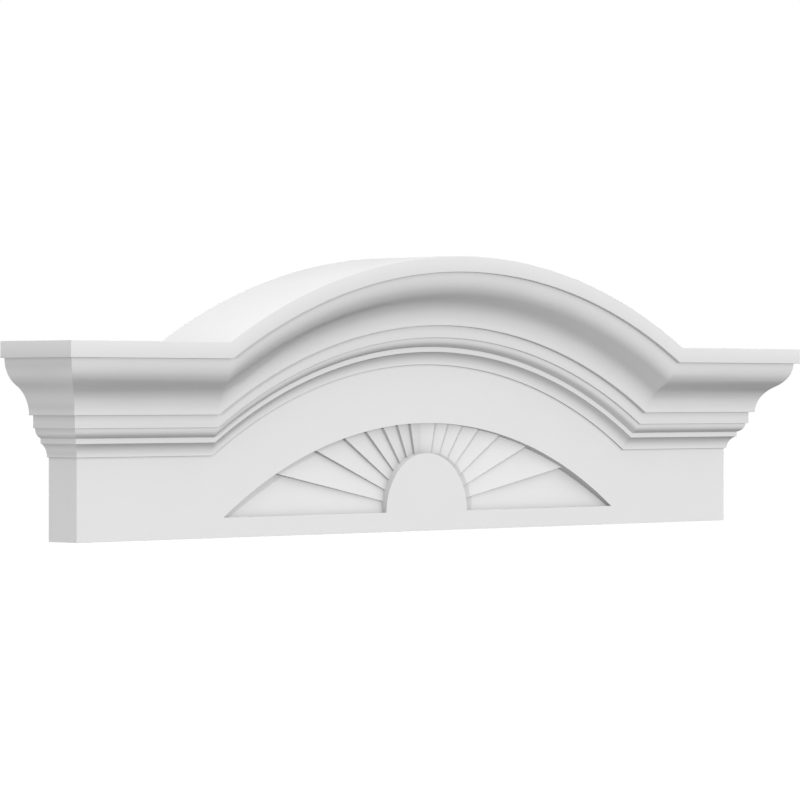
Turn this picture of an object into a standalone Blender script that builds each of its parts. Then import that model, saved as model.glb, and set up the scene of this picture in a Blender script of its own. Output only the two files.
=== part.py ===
"""Sunburst pediment: a moulded door head with an arched crown moulding over a carved fan.

Sizes are in metres. X runs along the wall, Y goes back into the wall and Z goes up. The piece is the same
left and right of x = 0 and stands on z = 0. It is modelled with the front of its frieze at y = 0, and then
set with the middle of its whole depth there.
"""
import math

import bmesh
import bpy
from mathutils import Vector

# The frieze board
FRIEZE_WIDTH = 1.2192
FRIEZE_DEPTH = 0.0508

# Heights above the underside: the level tops of the flankers, and the crown of the arch
FLANKER_HEIGHT = 0.2416
CROWN_HEIGHT = 0.3563

# The arch: radius of its top edge, and the straight pieces that stand for that curve
ARCH_RADIUS = 0.8558
ARCH_SEGMENTS = 48

# The crown moulding, from its top edge down to the frieze: a flat face is a height, a ledge is a setback
FASCIA_FACE = 0.0203
FASCIA_LEDGE = 0.0061
CYMA_CONVEX_RADIUS = 0.038
CYMA_CONCAVE_RADIUS = 0.042
CYMA_TURN = math.radians(59)
CYMA_LEDGE = 0.0064
FILLET_FACE = 0.0157
FILLET_LEDGE = 0.0030
OVOLO_RADIUS = 0.0125
OVOLO_TURN = math.radians(73)
BEAD_FACE = 0.0067
BEAD_LEDGE = 0.0017
COVE_RADIUS = 0.020
COVE_TURN = math.radians(55)
COVE_LEDGE = 0.0028
ARC_STEP = math.radians(8)

# The carved fan: its level foot, the plain band between the moulding and its curved top, and its hub
FAN_FOOT_HEIGHT = 0.025
FAN_TOP_BORDER = 0.0762
HUB_RADIUS = 0.0762
RAYS_EACH_SIDE = 8
RAY_DEPTH = 0.008
RAY_SLOPE = 0.195
HUB_ARC_PIECES = 4
FAN_ARC_PIECES = 6
CUTTER_PROUD = 0.010

# The finish of the moulded plastic
PRIMED_WHITE = (0.80, 0.80, 0.79, 1.0)
PRIMED_ROUGHNESS = 0.55


def clear_scene():
    """Remove whatever the file already holds."""
    for old in list(bpy.data.objects):
        bpy.data.objects.remove(old, do_unlink=True)


def primed_plastic():
    """The white primed finish of the moulded piece."""
    material = bpy.data.materials.new("primed_white_plastic")
    material.use_nodes = True
    shader = material.node_tree.nodes["Principled BSDF"]
    shader.inputs["Base Color"].default_value = PRIMED_WHITE
    shader.inputs["Roughness"].default_value = PRIMED_ROUGHNESS
    shader.inputs["Metallic"].default_value = 0.0
    return material


def link_mesh(name, bm, material):
    """Turn a bmesh into a linked object with its faces pointing out."""
    bmesh.ops.recalc_face_normals(bm, faces=bm.faces)
    mesh = bpy.data.meshes.new(name)
    bm.to_mesh(mesh)
    bm.free()
    mesh.materials.append(material)
    obj = bpy.data.objects.new(name, mesh)
    bpy.context.scene.collection.objects.link(obj)
    return obj


def arc_steps(radius, turn, upright_first):
    """Inward and downward moves along an arc that is upright at its start, or else at its end."""
    count = max(2, math.ceil(turn / ARC_STEP))
    angles = [turn * i / count for i in range(count + 1)]
    if not upright_first:
        angles.reverse()
    moves = []
    for before, after in zip(angles, angles[1:]):
        inward = radius * abs(math.cos(after) - math.cos(before))
        downward = radius * abs(math.sin(after) - math.sin(before))
        moves.append((inward, downward))
    return moves


def crown_profile():
    """The moulding's section as (projection beyond the frieze, drop below the top edge) pairs."""
    moves = [(0.0, FASCIA_FACE), (FASCIA_LEDGE, 0.0)]
    moves += arc_steps(CYMA_CONVEX_RADIUS, CYMA_TURN, True)
    moves += arc_steps(CYMA_CONCAVE_RADIUS, CYMA_TURN, False)
    moves += [(CYMA_LEDGE, 0.0), (0.0, FILLET_FACE), (FILLET_LEDGE, 0.0)]
    moves += arc_steps(OVOLO_RADIUS, OVOLO_TURN, True)
    moves += [(0.0, BEAD_FACE), (BEAD_LEDGE, 0.0)]
    moves += arc_steps(COVE_RADIUS, COVE_TURN, False)
    moves += [(COVE_LEDGE, 0.0)]
    projection = sum(inward for inward, downward in moves)
    drop = 0.0
    section = [(projection, drop)]
    for inward, downward in moves:
        projection -= inward
        drop += downward
        section.append((projection, drop))
    return section


def arch_centre_height():
    """Height of the point that every curve of the arch turns about."""
    return CROWN_HEIGHT - ARCH_RADIUS


def arch_points(drop):
    """Left to right across the arch at one drop, as (x, z), from mitre to mitre with the flankers."""
    radius = ARCH_RADIUS - drop
    rise = FLANKER_HEIGHT - drop - arch_centre_height()
    half_angle = math.acos(rise / radius)
    points = []
    for i in range(ARCH_SEGMENTS + 1):
        angle = half_angle * (2 * i / ARCH_SEGMENTS - 1)
        points.append((radius * math.sin(angle), arch_centre_height() + radius * math.cos(angle)))
    return points


def moulding_path(projection, drop):
    """One line of the moulding, from the wall round the left end, over the arch and back to the wall."""
    end = FRIEZE_WIDTH / 2 + projection
    level = FLANKER_HEIGHT - drop
    path = [Vector((-end, FRIEZE_DEPTH, level)), Vector((-end, -projection, level))]
    path += [Vector((x, -projection, z)) for x, z in arch_points(drop)]
    path += [Vector((end, -projection, level)), Vector((end, FRIEZE_DEPTH, level))]
    return path


def pediment_body():
    """The uncarved piece: moulding swept round the ends and over the arch, frieze board and flat back."""
    bm = bmesh.new()
    rows = []
    for projection, drop in crown_profile():
        rows.append([bm.verts.new(point) for point in moulding_path(projection, drop)])
    for upper, lower in zip(rows, rows[1:]):
        for i in range(len(upper) - 1):
            bm.faces.new((upper[i], upper[i + 1], lower[i + 1], lower[i]))

    # The top runs straight back to the wall
    top = rows[0]
    at_wall = [bm.verts.new((v.co.x, FRIEZE_DEPTH, v.co.z)) for v in top[2:-2]]
    bm.faces.new((top[0], top[1], top[2], at_wall[0]))
    for i in range(len(at_wall) - 1):
        bm.faces.new((top[i + 2], top[i + 3], at_wall[i + 1], at_wall[i]))
    bm.faces.new((top[-3], top[-2], top[-1], at_wall[-1]))

    # The frieze board below the moulding
    half = FRIEZE_WIDTH / 2
    left_back = bm.verts.new((-half, FRIEZE_DEPTH, 0.0))
    left_front = bm.verts.new((-half, 0.0, 0.0))
    right_front = bm.verts.new((half, 0.0, 0.0))
    right_back = bm.verts.new((half, FRIEZE_DEPTH, 0.0))
    foot = rows[-1]
    bm.faces.new((foot[0], foot[1], left_front, left_back))
    bm.faces.new([left_front] + foot[1:-1] + [right_front])
    bm.faces.new((foot[-2], foot[-1], right_back, right_front))
    bm.faces.new((left_back, left_front, right_front, right_back))

    # The flat back against the wall
    left_side = [row[0] for row in rows]
    right_side = [row[-1] for row in reversed(rows)]
    bm.faces.new(left_side + [left_back, right_back] + right_side + at_wall[::-1])
    return bm


def fan_reach(angle, radius):
    """Distance from the hub's centre to the fan's curved top, at an angle above the foot."""
    rise = FAN_FOOT_HEIGHT - arch_centre_height()
    across = rise * math.sin(angle)
    return math.sqrt(across * across + radius * radius - rise * rise) - across


def ray_outline(side, index, radius):
    """One ray's corners as (x, z, depth): out along its low edge and curved end, in along its high edge."""
    width = math.pi / 2 / RAYS_EACH_SIDE
    low_angle = width * index

    def place(angle, reach):
        depth = RAY_DEPTH + RAY_SLOPE * reach * math.sin(angle - low_angle)
        return (side * reach * math.cos(angle), FAN_FOOT_HEIGHT + reach * math.sin(angle), depth)

    hub = [place(low_angle + width * i / HUB_ARC_PIECES, HUB_RADIUS) for i in range(HUB_ARC_PIECES + 1)]
    angles = [low_angle + width * i / FAN_ARC_PIECES for i in range(FAN_ARC_PIECES + 1)]
    rim = [place(angle, fan_reach(angle, radius)) for angle in angles]
    return hub, rim


def fan_cutter():
    """The fan as a solid to cut away: a flat front, and a floor of tilted rays that meet in a valley."""
    bm = bmesh.new()
    known = {}

    def corner(x, z, depth):
        key = (round(x, 7), round(z, 7), round(depth, 7))
        if key not in known:
            known[key] = bm.verts.new((x, depth, z))
        return known[key]

    def front(point):
        return corner(point[0], point[1], -CUTTER_PROUD)

    def wall(line, meets_step):
        """Close a line of the floor up to the flat front, taking in the next ray's step at its far end."""
        for here, there in zip(line, line[1:]):
            ring = [corner(*there), corner(*here), front(here), front(there)]
            if meets_step and there is line[-1]:
                ring.append(corner(there[0], there[1], RAY_DEPTH))
            bm.faces.new(ring)

    last_drop = crown_profile()[-1][1]
    radius = ARCH_RADIUS - last_drop - FAN_TOP_BORDER
    for side in (-1, 1):
        below = None
        for index in range(RAYS_EACH_SIDE):
            hub, rim = ray_outline(side, index, radius)
            has_next = index < RAYS_EACH_SIDE - 1
            bm.faces.new([corner(*point) for point in hub[::-1] + rim])
            bm.faces.new([front(point) for point in hub[::-1] + rim])
            wall(hub, has_next)
            wall(rim, has_next)
            if below:
                # The step down to the ray below
                bm.faces.new([corner(*point) for point in (hub[0], rim[0], below[1], below[0])])
            else:
                wall([hub[0], rim[0]], False)
            below = (hub[-1], rim[-1])
    return bm


def build():
    clear_scene()
    finish = primed_plastic()
    projection = crown_profile()[0][0]
    pediment = link_mesh("pediment", pediment_body(), finish)
    pediment.location.y = (projection - FRIEZE_DEPTH) / 2
    cutter = link_mesh("fan_cutter", fan_cutter(), finish)
    cutter.parent = pediment
    cutter.hide_render = True
    cutter.display_type = "WIRE"
    carve = pediment.modifiers.new("carve_fan", "BOOLEAN")
    carve.operation = "DIFFERENCE"
    carve.solver = "EXACT"
    carve.object = cutter


build()
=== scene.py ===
import math

import bmesh
import bpy
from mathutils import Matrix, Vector


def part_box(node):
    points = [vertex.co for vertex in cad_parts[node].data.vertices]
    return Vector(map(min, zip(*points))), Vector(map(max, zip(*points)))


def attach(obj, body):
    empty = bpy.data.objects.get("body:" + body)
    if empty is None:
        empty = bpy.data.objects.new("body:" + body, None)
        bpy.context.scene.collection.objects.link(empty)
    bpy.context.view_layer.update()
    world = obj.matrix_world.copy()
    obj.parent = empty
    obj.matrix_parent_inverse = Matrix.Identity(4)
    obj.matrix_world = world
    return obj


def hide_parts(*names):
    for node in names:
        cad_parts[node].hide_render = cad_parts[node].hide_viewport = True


# Sizes in metres, as in the part: the frieze board and the moulding's members from its top edge down
FRIEZE_DEPTH = 0.0508
FLANKER_HEIGHT = 0.2416
ARCH_RADIUS = 0.8558
FASCIA_FACE = 0.0203
FASCIA_LEDGE = 0.0061
CYMA_CONVEX_RADIUS = 0.038
CYMA_CONCAVE_RADIUS = 0.042
CYMA_TURN = math.radians(59)
CYMA_LEDGE = 0.0064
FILLET_FACE = 0.0157
FILLET_LEDGE = 0.0030
OVOLO_RADIUS = 0.0125
OVOLO_TURN = math.radians(73)
BEAD_FACE = 0.0067
BEAD_LEDGE = 0.0017
COVE_RADIUS = 0.020
COVE_TURN = math.radians(55)
COVE_LEDGE = 0.0028

# The carved fan
FAN_FOOT_HEIGHT = 0.025
FAN_TOP_BORDER = 0.0762
HUB_RADIUS = 0.0762
RAYS_EACH_SIDE = 8
RAY_DEPTH = 0.008
RAY_SLOPE = 0.195
CUTTER_PROUD = 0.010

# How finely round stretches are divided, and how close two points are one
ARC_STEP = math.radians(4)
ARCH_SEGMENTS = 180
RAY_ARC_PIECES = 12
WELD_DISTANCE = 1e-6
WELD_DIGITS = 7

# Softened edges: the section's own arrises, the corners that the section doesn't draw, and what stays sharp
ARRIS_RADIUS = 0.0006
ARRIS_PIECES = 3
ARRIS_LEAST_TURN = math.radians(20)
ARRIS_SHARE_OF_SIDE = 0.4
CORNER_BEVEL = 0.0007
CORNER_PIECES = 3
CORNER_LEAST_TURN = math.radians(50)
SHADING_BREAK = math.radians(12)

# The camera: level, to the object's left, at the height of the picture's horizon
CAMERA_TURN = math.radians(46.1465)
CAMERA_DISTANCE = 5.2783
CAMERA_ASIDE = 0.0354
CAMERA_HEIGHT = 0.17803
CAMERA_LENS = 181.956
CAMERA_SENSOR = 36.0
HORIZON_ROW = 394.269
PICTURE_SIDE = 800

# Primer: its colour and how far that drifts, and its roughness; then the shade painted into that colour in
# creases: how far it reaches, the painted shade's tone at the bottom of a closed crease, and its samples.
# Noise scales here and below are in features to the metre.
PRIMER_COLOUR = 0.80
PRIMER_DRIFT = 0.008
DRIFT_SCALE = 14
DRIFT_DETAIL = 3
ROUGHNESS_LOW = 0.50
ROUGHNESS_HIGH = 0.62
CREASE_PAINTED_SHADE_REACH = 0.080
CREASE_PAINTED_SHADE_TONE = 0.35
CREASE_PAINTED_SHADE_SAMPLES = 16

# Nearly all of a noise's values lie between these two
NOISE_LOW = 0.3
NOISE_HIGH = 0.7

# The sprayed surface: orange peel, fine grain, and pinholes with a flat floor
PEEL_SCALE = 230
PEEL_HEIGHT = 0.00012
GRAIN_SCALE = 1500
GRAIN_HEIGHT = 0.00003
SPRAY_DETAIL = 2
PINHOLE_SCALE = 90
PINHOLE_RADIUS = 0.0003
PINHOLE_FLOOR_SHARE = 0.4
PINHOLE_DEPTH = 0.0003

# Lights: degrees from the front round to the left end, degrees up, strength, and whether it casts shadows.
# All but the key are washes that cast none, and some of them come from below.
LIGHTS = {
    "key": (64, 1, 1.22, True),
    "right_high": (-30, 35, 1.67, False),
    "front_high": (15, 55, 1.11, False),
    "left_high": (75, 42, 0.145, False),
    "back_high": (135, 70, 1.47, False),
    "right_level": (-60, 7, 0.13, False),
    "back_level": (-150, 0, 2.4, False),
    "left_low": (60, -50, 0.61, False),
    "right_low": (-45, -35, 0.50, False),
    "back_low": (150, -35, 0.45, False),
}
LIGHT_SIZE = math.radians(1)

# The stage: a pale floor that lights itself for the most part, and a weak fill
FLOOR_REACH = 40
FLOOR_COLOUR = 0.25
FLOOR_GLOW = 0.76
FILL_STRENGTH = 0.04
WHITE = (1.0, 1.0, 1.0, 1.0)


def arc_steps(radius, turn, upright_first):
    """Inward and downward moves along an arc that is upright at its start, or else at its end."""
    count = max(2, math.ceil(turn / ARC_STEP))
    angles = [turn * i / count for i in range(count + 1)]
    if not upright_first:
        angles.reverse()
    moves = []
    for before, after in zip(angles, angles[1:]):
        inward = radius * abs(math.cos(after) - math.cos(before))
        downward = radius * abs(math.sin(after) - math.sin(before))
        moves.append((inward, downward))
    return moves


def crown_moves():
    """The moulding's section as inward and downward moves from its top edge to the frieze."""
    moves = [(0.0, FASCIA_FACE), (FASCIA_LEDGE, 0.0)]
    moves += arc_steps(CYMA_CONVEX_RADIUS, CYMA_TURN, True)
    moves += arc_steps(CYMA_CONCAVE_RADIUS, CYMA_TURN, False)
    moves += [(CYMA_LEDGE, 0.0), (0.0, FILLET_FACE), (FILLET_LEDGE, 0.0)]
    moves += arc_steps(OVOLO_RADIUS, OVOLO_TURN, True)
    moves += [(0.0, BEAD_FACE), (BEAD_LEDGE, 0.0)]
    moves += arc_steps(COVE_RADIUS, COVE_TURN, False)
    moves += [(COVE_LEDGE, 0.0)]
    return moves


def crown_projection():
    """How far the moulding stands out from the frieze."""
    return sum(inward for inward, downward in crown_moves())


def soften(points):
    """Replace each sharp corner of a section by a small curve."""
    soft = [points[0]]
    for before, corner, after in zip(points, points[1:], points[2:]):
        come = corner - before
        go = after - corner
        turn = come.angle(go)
        if turn < ARRIS_LEAST_TURN:
            soft.append(corner)
            continue
        shorter = min(come.length, go.length)
        reach = min(ARRIS_RADIUS * math.tan(turn / 2), ARRIS_SHARE_OF_SIDE * shorter)
        start = corner - come.normalized() * reach
        end = corner + go.normalized() * reach
        for i in range(ARRIS_PIECES + 1):
            t = i / ARRIS_PIECES
            soft.append(start.lerp(corner, t).lerp(corner.lerp(end, t), t))
    soft.append(points[-1])
    return soft


def crown_section():
    """The section from the wall, over the top and down to the frieze, as (projection, drop) vectors."""
    projection = crown_projection()
    drop = 0.0
    points = [Vector((-FRIEZE_DEPTH, 0.0)), Vector((projection, 0.0))]
    for inward, downward in crown_moves():
        projection -= inward
        drop += downward
        points.append(Vector((projection, drop)))
    # The frieze's own face ends the section, so that the last ledge is softened too
    points.append(Vector((0.0, drop + COVE_LEDGE)))
    return soften(points)


def frieze_front():
    """How far the front of the frieze lies behind the middle of the whole depth."""
    return (crown_projection() - FRIEZE_DEPTH) / 2


class Pediment:
    """The form between the frame's own limits, drawn with the front of the frieze at y = 0."""

    def __init__(self, low, high):
        self.half_frieze = (high.x - low.x) / 2 - crown_projection()
        self.centre_height = high.z - low.z - ARCH_RADIUS
        crown_drop = sum(downward for inward, downward in crown_moves())
        self.fan_radius = ARCH_RADIUS - crown_drop - FAN_TOP_BORDER

    def path(self, projection, drop):
        """One line of the moulding, from the wall round one end, over the arch and round the other end."""
        end = self.half_frieze + projection
        level = FLANKER_HEIGHT - drop
        radius = ARCH_RADIUS - drop
        half_angle = math.acos((level - self.centre_height) / radius)
        points = [Vector((-end, FRIEZE_DEPTH, level)), Vector((-end, -projection, level))]
        for i in range(ARCH_SEGMENTS + 1):
            angle = half_angle * (2 * i / ARCH_SEGMENTS - 1)
            height = self.centre_height + radius * math.cos(angle)
            points.append(Vector((radius * math.sin(angle), -projection, height)))
        points += [Vector((end, -projection, level)), Vector((end, FRIEZE_DEPTH, level))]
        return points

    def body(self):
        """The uncarved piece."""
        bm = bmesh.new()
        rows = [[bm.verts.new(p) for p in self.path(s.x, s.y)] for s in crown_section()]
        for upper, lower in zip(rows, rows[1:]):
            for i in range(len(upper) - 1):
                bm.faces.new((upper[i], upper[i + 1], lower[i + 1], lower[i]))
        half = self.half_frieze
        feet = [(-half, FRIEZE_DEPTH), (-half, 0.0), (half, 0.0), (half, FRIEZE_DEPTH)]
        left_back, left_front, right_front, right_back = [bm.verts.new((x, y, 0.0)) for x, y in feet]
        foot = rows[-1]
        bm.faces.new((foot[0], foot[1], left_front, left_back))
        bm.faces.new([left_front] + foot[1:-1] + [right_front])
        bm.faces.new((foot[-2], foot[-1], right_back, right_front))
        bm.faces.new((left_back, left_front, right_front, right_back))
        left_side = [row[0] for row in rows]
        right_side = [row[-1] for row in reversed(rows)]
        bm.faces.new(left_side + [left_back, right_back] + right_side + rows[0][-3:1:-1])
        bmesh.ops.remove_doubles(bm, verts=bm.verts, dist=WELD_DISTANCE)
        return bm

    def fan_reach(self, angle):
        """Distance from the hub's centre to the fan's curved top, at an angle above the foot."""
        rise = FAN_FOOT_HEIGHT - self.centre_height
        across = rise * math.sin(angle)
        return math.sqrt(across * across + self.fan_radius * self.fan_radius - rise * rise) - across

    def ray(self, side, index):
        """One ray's hub line and rim line, as (x, z, depth) points from its low edge to its high edge."""
        width = math.pi / 2 / RAYS_EACH_SIDE
        low_angle = width * index

        def place(angle, reach):
            depth = RAY_DEPTH + RAY_SLOPE * reach * math.sin(angle - low_angle)
            return (side * reach * math.cos(angle), FAN_FOOT_HEIGHT + reach * math.sin(angle), depth)

        angles = [low_angle + width * i / RAY_ARC_PIECES for i in range(RAY_ARC_PIECES + 1)]
        return [place(a, HUB_RADIUS) for a in angles], [place(a, self.fan_reach(a)) for a in angles]

    def fan(self):
        """The fan as a solid to cut away: a flat front, and tilted rays that meet in a valley."""
        bm = bmesh.new()
        known = {}

        def corner(x, z, depth):
            key = tuple(round(value, WELD_DIGITS) for value in (x, z, depth))
            if key not in known:
                known[key] = bm.verts.new((x, depth, z))
            return known[key]

        def front(point):
            return corner(point[0], point[1], -CUTTER_PROUD)

        def wall(line, meets_step):
            """Close a line of the rays up to the flat front, with the next ray's step at its far end."""
            for here, there in zip(line, line[1:]):
                ring = [corner(*there), corner(*here), front(here), front(there)]
                if meets_step and there is line[-1]:
                    ring.append(corner(there[0], there[1], RAY_DEPTH))
                bm.faces.new(ring)

        for side in (-1, 1):
            below = None
            for index in range(RAYS_EACH_SIDE):
                hub, rim = self.ray(side, index)
                has_next = index < RAYS_EACH_SIDE - 1
                bm.faces.new([corner(*point) for point in hub[::-1] + rim])
                bm.faces.new([front(point) for point in hub[::-1] + rim])
                wall(hub, has_next)
                wall(rim, has_next)
                if below:
                    bm.faces.new([corner(*point) for point in (hub[0], rim[0], below[1], below[0])])
                else:
                    wall([hub[0], rim[0]], False)
                below = (hub[-1], rim[-1])
        return bm


def link_mesh(name, bm):
    """Turn a bmesh into a linked object, with its faces pointing out and its place in its mesh."""
    bmesh.ops.recalc_face_normals(bm, faces=bm.faces)
    bmesh.ops.translate(bm, verts=bm.verts, vec=(0.0, frieze_front(), 0.0))
    mesh = bpy.data.meshes.new(name)
    bm.to_mesh(mesh)
    bm.free()
    obj = bpy.data.objects.new(name, mesh)
    bpy.context.scene.collection.objects.link(obj)
    return obj


def make_pediment(low, high):
    """The dressed piece: softened corners, the fan cut in, and smooth shading on its curves alone."""
    form = Pediment(low, high)
    piece = link_mesh("moulded_pediment", form.body())
    bevel = piece.modifiers.new("corners", "BEVEL")
    bevel.width = CORNER_BEVEL
    bevel.segments = CORNER_PIECES
    bevel.limit_method = "ANGLE"
    bevel.angle_limit = CORNER_LEAST_TURN
    cutter = link_mesh("fan_cutter", form.fan())
    carve = piece.modifiers.new("carve", "BOOLEAN")
    carve.operation = "DIFFERENCE"
    carve.solver = "EXACT"
    carve.object = cutter
    depsgraph = bpy.context.evaluated_depsgraph_get()
    shaped = bpy.data.meshes.new_from_object(piece.evaluated_get(depsgraph))
    piece.modifiers.clear()
    piece.data = shaped
    bpy.data.objects.remove(cutter)
    shaped.shade_smooth()
    shaped.set_sharp_from_angle(angle=SHADING_BREAK)
    return piece


class Nodes:
    """A short way to add nodes to one material or world and to link them."""

    def __init__(self, owner):
        owner.use_nodes = True
        self.tree = owner.node_tree

    def add(self, kind, **settings):
        node = self.tree.nodes.new(kind)
        for name, value in settings.items():
            setattr(node, name, value)
        return node

    def link(self, source, target):
        self.tree.links.new(source, target)

    def noise(self, place, scale, detail):
        """Noise from 0 to 1, with its scale in features to the metre."""
        node = self.add("ShaderNodeTexNoise")
        node.inputs["Scale"].default_value = scale
        node.inputs["Detail"].default_value = detail
        self.link(place, node.inputs["Vector"])
        return node.outputs["Fac"]

    def between(self, source, from_low, from_high, low, high):
        """Map a value's range onto another one, and hold it there."""
        node = self.add("ShaderNodeMapRange")
        self.link(source, node.inputs["Value"])
        node.inputs["From Min"].default_value = from_low
        node.inputs["From Max"].default_value = from_high
        node.inputs["To Min"].default_value = low
        node.inputs["To Max"].default_value = high
        return node.outputs["Result"]

    def product(self, first, second):
        """Multiply two values."""
        node = self.add("ShaderNodeMath", operation="MULTIPLY")
        self.link(first, node.inputs[0])
        self.link(second, node.inputs[1])
        return node.outputs["Value"]

    def bump(self, height, distance, normal=None):
        """Raise the surface by a height from 0 to 1, distance metres at its most."""
        node = self.add("ShaderNodeBump")
        node.inputs["Distance"].default_value = distance
        self.link(height, node.inputs["Height"])
        if normal:
            self.link(normal, node.inputs["Normal"])
        return node.outputs["Normal"]


def primed_white():
    """Factory primer sprayed on moulded polyurethane: white, matt to satin, and not quite even, with
    painted shade darkening its colour in creases and hollows.
    """
    material = bpy.data.materials.new("primed_white")
    nodes = Nodes(material)
    shader = nodes.tree.nodes["Principled BSDF"]
    place = nodes.add("ShaderNodeTexCoord").outputs["Object"]

    drift = nodes.noise(place, DRIFT_SCALE, DRIFT_DETAIL)
    darkest = PRIMER_COLOUR - PRIMER_DRIFT
    lightest = PRIMER_COLOUR + PRIMER_DRIFT
    tone = nodes.between(drift, NOISE_LOW, NOISE_HIGH, darkest, lightest)
    # Painted shade: ambient occlusion darkens the colour in creases and hollows, where shade falls
    crease = nodes.add("ShaderNodeAmbientOcclusion", samples=CREASE_PAINTED_SHADE_SAMPLES, only_local=True)
    crease.inputs["Distance"].default_value = CREASE_PAINTED_SHADE_REACH
    shade = nodes.between(crease.outputs["AO"], 0.0, 1.0, CREASE_PAINTED_SHADE_TONE, 1.0)
    level = nodes.product(tone, shade)
    colour = nodes.add("ShaderNodeCombineColor")
    for channel in ("Red", "Green", "Blue"):
        nodes.link(level, colour.inputs[channel])
    nodes.link(colour.outputs["Color"], shader.inputs["Base Color"])
    roughness = nodes.between(drift, NOISE_LOW, NOISE_HIGH, ROUGHNESS_HIGH, ROUGHNESS_LOW)
    nodes.link(roughness, shader.inputs["Roughness"])

    pinholes = nodes.add("ShaderNodeTexVoronoi")
    pinholes.inputs["Scale"].default_value = PINHOLE_SCALE
    nodes.link(place, pinholes.inputs["Vector"])
    reach = PINHOLE_RADIUS * PINHOLE_SCALE
    hollow = nodes.between(pinholes.outputs["Distance"], PINHOLE_FLOOR_SHARE * reach, reach, 0.0, 1.0)
    normal = nodes.bump(nodes.noise(place, PEEL_SCALE, SPRAY_DETAIL), PEEL_HEIGHT)
    normal = nodes.bump(nodes.noise(place, GRAIN_SCALE, SPRAY_DETAIL), GRAIN_HEIGHT, normal)
    normal = nodes.bump(hollow, PINHOLE_DEPTH, normal)
    nodes.link(normal, shader.inputs["Normal"])
    return material


def make_camera():
    """A level camera, turned to see the left end."""
    camera = bpy.data.objects.new("camera", bpy.data.cameras.new("camera"))
    bpy.context.scene.collection.objects.link(camera)
    ahead = Vector((math.sin(CAMERA_TURN), math.cos(CAMERA_TURN), 0.0))
    aside = Vector((math.cos(CAMERA_TURN), -math.sin(CAMERA_TURN), 0.0))
    aim = Vector((0.0, frieze_front(), CAMERA_HEIGHT))
    camera.location = aim - ahead * CAMERA_DISTANCE - aside * CAMERA_ASIDE
    camera.rotation_euler = (math.radians(90), 0.0, -CAMERA_TURN)
    camera.data.sensor_width = CAMERA_SENSOR
    camera.data.lens = CAMERA_LENS
    camera.data.shift_y = (HORIZON_ROW - PICTURE_SIDE / 2) / PICTURE_SIDE
    bpy.context.scene.camera = camera


def make_stage():
    """A plain pale floor that blocks no light, and a white surround that lights the piece only weakly."""
    mesh = bpy.data.meshes.new("floor")
    corners = [(-1, -1), (1, -1), (1, 1), (-1, 1)]
    mesh.from_pydata([(x * FLOOR_REACH, y * FLOOR_REACH, 0.0) for x, y in corners], [], [(0, 1, 2, 3)])
    floor = bpy.data.objects.new("floor", mesh)
    bpy.context.scene.collection.objects.link(floor)
    material = bpy.data.materials.new("floor")
    material.use_nodes = True
    shader = material.node_tree.nodes["Principled BSDF"]
    shader.inputs["Base Color"].default_value = (FLOOR_COLOUR, FLOOR_COLOUR, FLOOR_COLOUR, 1.0)
    shader.inputs["Specular IOR Level"].default_value = 0.0
    shader.inputs["Emission Color"].default_value = WHITE
    shader.inputs["Emission Strength"].default_value = FLOOR_GLOW
    mesh.materials.append(material)
    floor.visible_diffuse = False
    floor.visible_glossy = False
    floor.visible_shadow = False

    world = bpy.data.worlds.new("surround")
    bpy.context.scene.world = world
    nodes = Nodes(world)
    nodes.tree.nodes.clear()
    fill = nodes.add("ShaderNodeBackground")
    fill.inputs["Strength"].default_value = FILL_STRENGTH
    seen = nodes.add("ShaderNodeBackground")
    mix = nodes.add("ShaderNodeMixShader")
    for background in (fill, seen):
        background.inputs["Color"].default_value = WHITE
    nodes.link(nodes.add("ShaderNodeLightPath").outputs["Is Camera Ray"], mix.inputs["Fac"])
    nodes.link(fill.outputs["Background"], mix.inputs[1])
    nodes.link(seen.outputs["Background"], mix.inputs[2])
    nodes.link(mix.outputs["Shader"], nodes.add("ShaderNodeOutputWorld").inputs["Surface"])
    bpy.context.scene.view_settings.view_transform = "Standard"


def make_lights():
    """Washes that give the mouldings their tones, and a key from the left that draws the fan's shadows."""
    for name, (turn, rise, strength, casts) in LIGHTS.items():
        data = bpy.data.lights.new(name, "SUN")
        data.energy = strength
        data.angle = LIGHT_SIZE
        data.use_shadow = casts
        light = bpy.data.objects.new(name, data)
        aside = math.radians(turn)
        up = math.radians(rise)
        level = math.cos(up)
        toward = Vector((-math.sin(aside) * level, -math.cos(aside) * level, math.sin(up)))
        light.rotation_euler = toward.to_track_quat("Z", "Y").to_euler()
        bpy.context.scene.collection.objects.link(light)


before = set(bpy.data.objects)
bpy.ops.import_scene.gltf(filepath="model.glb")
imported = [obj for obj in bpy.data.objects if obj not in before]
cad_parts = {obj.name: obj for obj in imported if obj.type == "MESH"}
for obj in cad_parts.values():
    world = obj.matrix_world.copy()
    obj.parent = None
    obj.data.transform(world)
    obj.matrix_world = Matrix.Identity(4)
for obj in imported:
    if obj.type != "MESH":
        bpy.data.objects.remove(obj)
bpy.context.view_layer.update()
piece = make_pediment(*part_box("pediment"))
# Its surfaces pass no light on to each other
piece.visible_diffuse = False
piece.data.materials.clear()
piece.data.materials.append(primed_white())
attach(piece, "root")
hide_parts("pediment")
make_camera()
make_stage()
make_lights()
